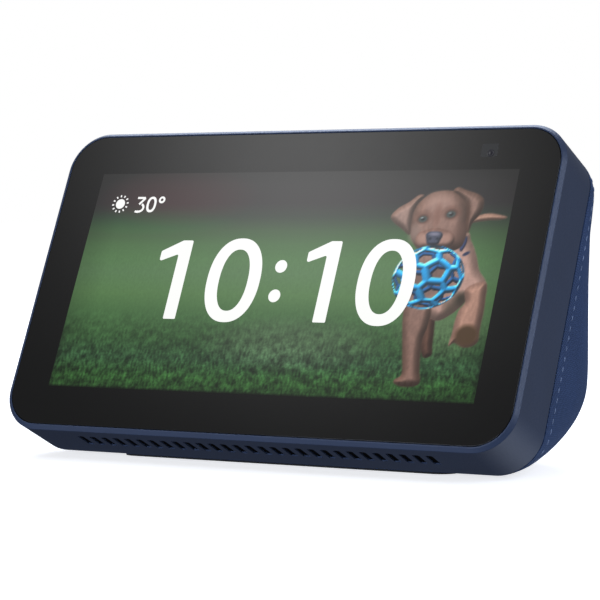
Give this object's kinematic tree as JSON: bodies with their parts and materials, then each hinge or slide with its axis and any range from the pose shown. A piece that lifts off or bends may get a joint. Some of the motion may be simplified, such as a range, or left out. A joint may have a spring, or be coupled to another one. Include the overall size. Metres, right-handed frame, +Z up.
{
  "type": "smart speaker with a touch display",
  "caption": "Tabletop smart speaker: a rounded plastic band holds a leaning glass display, and a knitted wedge behind it holds the speaker over a flat base.",
  "frame": {"origin": "on the table, under the middle of the body's outline", "axes": "+X to the right seen from the front, +Y towards the back, +Z up"},
  "size_m": [0.148, 0.0728, 0.086],
  "materials": {
    "navy_plastic": "moulded, fine satin texture",
    "inner_plastic": "moulded, plain",
    "knit": "polyester knit, fine diagonal rib",
    "cover_glass": "polished, printed black behind",
    "display_film": "smooth film",
    "black_plastic": "moulded",
    "rubber": "matt",
    "steel": "plated",
    "aluminium": "die cast",
    "circuit_board": "solder mask",
    "copper": "bare and coated copper",
    "cone_paper": "pressed paper"
  },
  "bodies": {
    "body": {"front_frame": "navy_plastic", "rear_housing": "inner_plastic", "fabric_cover": "knit", "cover_glass": "cover_glass", "camera_lens": "cover_glass", "light_sensor": "cover_glass", "touch_sensor": "display_film", "display_cell": "display_film", "glass_tape": "black_plastic", "backlight_tray": "black_plastic", "processor": "black_plastic", "camera_housing": "black_plastic", "base_plate": "black_plastic", "port_panel": "black_plastic", "dc_jack": "black_plastic", "speaker_box": "black_plastic", "speaker_cable": "black_plastic", "power_cable": "black_plastic", "rubber_foot": "rubber", "speaker_gasket": "rubber", "speaker_surround": "rubber", "display_backplate": "steel", "wifi_module": "steel", "switch_1": "steel", "switch_2": "steel", "switch_3": "steel", "mic_left": "steel", "mic_right": "steel", "usb_port": "steel", "speaker_basket": "steel", "speaker_magnet": "steel", "frame_screw_1": "steel", "frame_screw_2": "steel", "frame_screw_3": "steel", "frame_screw_4": "steel", "board_screw_1": "steel", "board_screw_2": "steel", "speaker_screw_1": "steel", "speaker_screw_2": "steel", "base_screw_1": "steel", "base_screw_2": "steel", "base_screw_3": "steel", "base_screw_4": "steel", "mid_plate": "aluminium", "heat_sink": "aluminium", "main_board": "circuit_board", "button_board": "circuit_board", "camera_board": "circuit_board", "power_board": "circuit_board", "antenna_left": "copper", "antenna_right": "copper", "display_flex": "copper"},
    "mute": {"mute_button": "navy_plastic"},
    "volume_down": {"volume_down_button": "navy_plastic"},
    "volume_up": {"volume_up_button": "navy_plastic"},
    "shutter": {"camera_shutter": "black_plastic"},
    "cone": {"speaker_cone": "cone_paper", "voice_coil": "copper"}
  },
  "joints": [
    {"name": "mute_press", "type": "slide", "parent": "body", "child": "mute", "axis": [0, -0.4226, -0.9063], "range_m": [0, 0.0005], "stiffness_N_per_m": 400, "springref_m": -0.0005},
    {"name": "volume_down_press", "type": "slide", "parent": "body", "child": "volume_down", "axis": [0, -0.4226, -0.9063], "range_m": [0, 0.0005], "stiffness_N_per_m": 400, "springref_m": -0.0005},
    {"name": "volume_up_press", "type": "slide", "parent": "body", "child": "volume_up", "axis": [0, -0.4226, -0.9063], "range_m": [0, 0.0005], "stiffness_N_per_m": 400, "springref_m": -0.0005},
    {"name": "shutter_slide", "type": "slide", "parent": "body", "child": "shutter", "axis": [1, 0, 0], "range_m": [0, 0.007]},
    {"name": "cone_travel", "type": "slide", "parent": "body", "child": "cone", "axis": [0, 0.9533, 0.3019], "range_m": [-0.001, 0.001], "stiffness_N_per_m": 1000}
  ]
}
